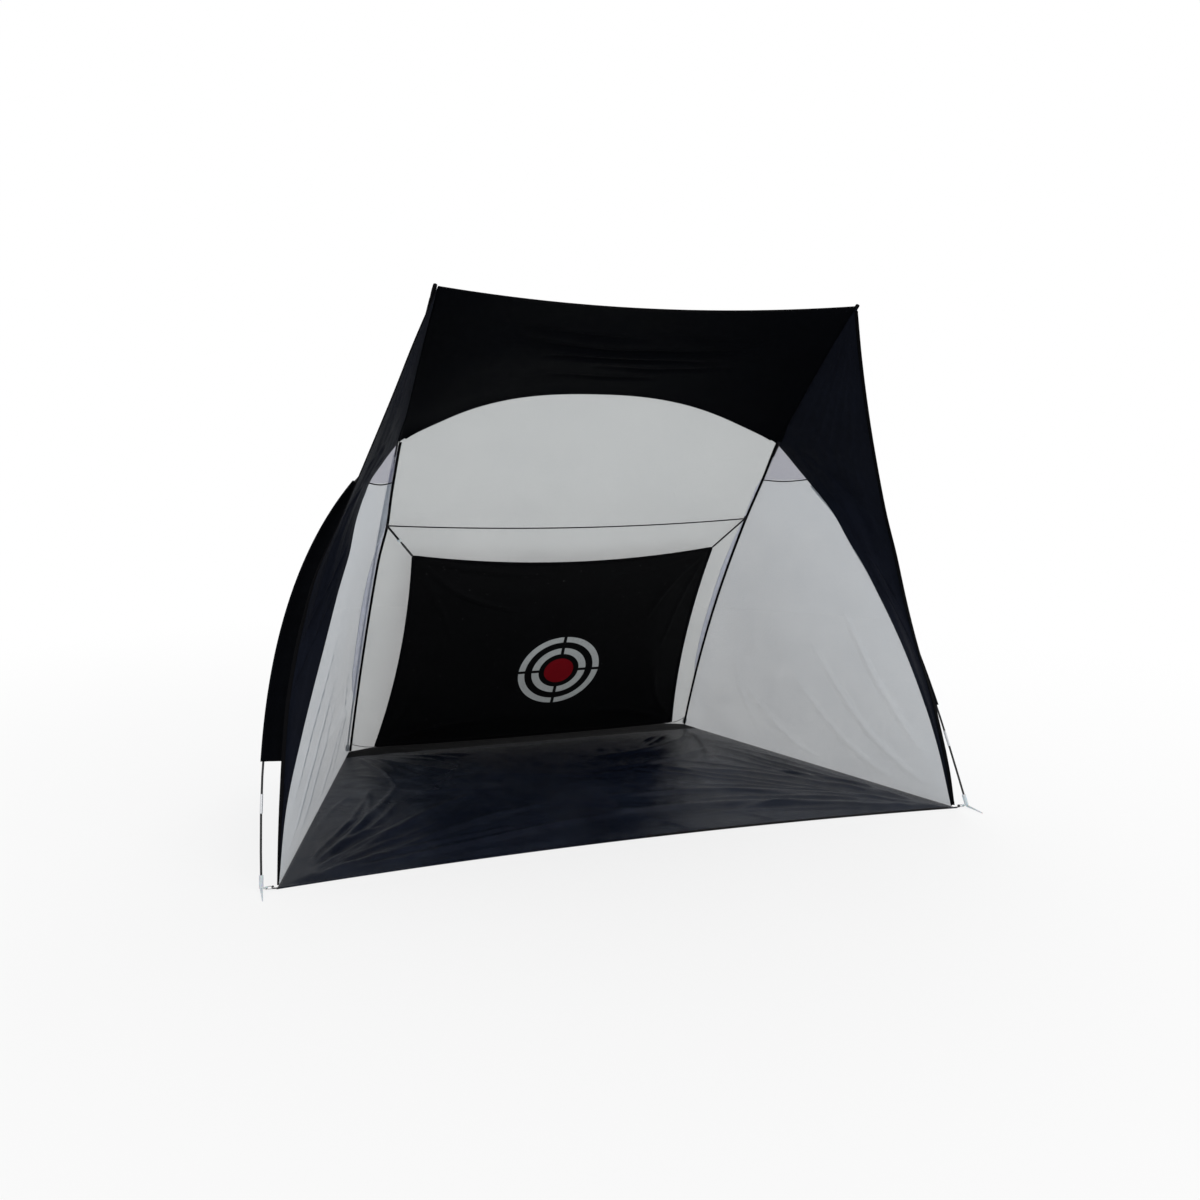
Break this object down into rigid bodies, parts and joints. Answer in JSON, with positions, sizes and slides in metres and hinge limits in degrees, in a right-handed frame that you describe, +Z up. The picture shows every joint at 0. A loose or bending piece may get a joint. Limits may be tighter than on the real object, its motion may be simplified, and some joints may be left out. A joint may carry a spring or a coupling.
{
  "type": "golf chipping net",
  "caption": "Free-standing chipping net: bent-pole cage with netting walls, cloth roof and side bands, a floor sheet and a hanging cloth target inside an open mouth.",
  "frame": {"origin": "on the ground, at the middle of the floor sheet's underside", "axes": "+Z up; the open mouth faces -Y; X runs across the mouth"},
  "size_m": [2.9752, 1.6284, 2.1118],
  "materials": {
    "black_rod": "satin",
    "ferrule_metal": "satin",
    "black_cloth": "woven",
    "pale_sleeve": "woven",
    "white_net": "fine mesh",
    "floor_cloth": "coated",
    "target_cloth": "woven",
    "pale_plastic": "translucent satin",
    "ring_steel": "plated",
    "black_webbing": "woven"
  },
  "bodies": {
    "cage": {"hoop_rod_1": "black_rod", "hoop_rod_2": "black_rod", "hoop_rod_3": "black_rod", "hoop_rod_4": "black_rod", "hoop_rod_5": "black_rod", "hoop_rod_6": "black_rod", "hoop_rod_7": "black_rod", "rear_rod_left_1": "black_rod", "rear_rod_left_2": "black_rod", "rear_rod_left_3": "black_rod", "rear_rod_right_1": "black_rod", "rear_rod_right_2": "black_rod", "rear_rod_right_3": "black_rod", "hoop_ferrule_1": "ferrule_metal", "hoop_ferrule_2": "ferrule_metal", "hoop_ferrule_3": "ferrule_metal", "hoop_ferrule_4": "ferrule_metal", "hoop_ferrule_5": "ferrule_metal", "hoop_ferrule_6": "ferrule_metal", "rear_ferrule_left_1": "ferrule_metal", "rear_ferrule_left_2": "ferrule_metal", "rear_ferrule_right_1": "ferrule_metal", "rear_ferrule_right_2": "ferrule_metal", "roof_panel": "black_cloth", "roof_sleeve": "black_cloth", "band_left": "black_cloth", "band_right": "black_cloth", "gusset_left": "black_cloth", "gusset_right": "black_cloth", "upper_sleeve_left": "black_cloth", "upper_sleeve_right": "black_cloth", "pocket_left": "black_cloth", "pocket_right": "black_cloth", "rear_sleeve_left": "pale_sleeve", "rear_sleeve_right": "pale_sleeve", "rear_net": "white_net", "side_net_left": "white_net", "side_net_right": "white_net", "upper_net_left": "white_net", "upper_net_right": "white_net", "floor_sheet": "floor_cloth", "loop_left": "black_webbing", "loop_right": "black_webbing", "cup_left": "black_webbing", "cup_right": "black_webbing", "strap_left": "black_webbing", "strap_right": "black_webbing", "anchor_left": "black_webbing", "anchor_right": "black_webbing", "tie_left": "black_webbing", "tie_right": "black_webbing", "cross_cord": "black_webbing"},
    "target": {"target_cloth": "target_cloth"},
    "left_foot": {"foot_left": "pale_plastic"},
    "right_foot": {"foot_right": "pale_plastic"},
    "left_ring": {"ring_left": "ring_steel"},
    "right_ring": {"ring_right": "ring_steel"},
    "slider": {"strap_slider": "pale_plastic"}
  },
  "joints": [
    {"name": "target_swing", "type": "hinge", "parent": "cage", "child": "target", "pos_m": [0, 0.075, 1.073], "axis": [1, 0, 0], "range_deg": [-2, 2], "stiffness_Nm_per_rad": 60, "deforming": ["tie_left", "tie_right"]},
    {"name": "left_foot_turn", "type": "hinge", "parent": "cage", "child": "left_foot", "pos_m": [-1.48, -0.74521, 0.012], "axis": [0.0065, 0.3651, 0.9309], "range_deg": [-4, 4]},
    {"name": "left_ring_turn", "type": "hinge", "parent": "cage", "child": "left_ring", "pos_m": [-1.441, -0.745, 0.0068], "axis": [0, 0, 1], "range_deg": [-3, 3]},
    {"name": "right_foot_turn", "type": "hinge", "parent": "cage", "child": "right_foot", "pos_m": [1.48, -0.74521, 0.012], "axis": [-0.0065, 0.3651, 0.9309], "range_deg": [-4, 4]},
    {"name": "right_ring_turn", "type": "hinge", "parent": "cage", "child": "right_ring", "pos_m": [1.441, -0.745, 0.0068], "axis": [0, 0, 1], "range_deg": [-3, 3]},
    {"name": "slider_run", "type": "slide", "parent": "cage", "child": "slider", "axis": [0.6255, 0.3844, -0.679], "range_m": [-0.08, 0.06]}
  ],
  "couplings": [
    {"joint": "left_ring_turn", "follows": "left_foot_turn", "ratio": -0.72},
    {"joint": "right_ring_turn", "follows": "right_foot_turn", "ratio": -0.72}
  ]
}
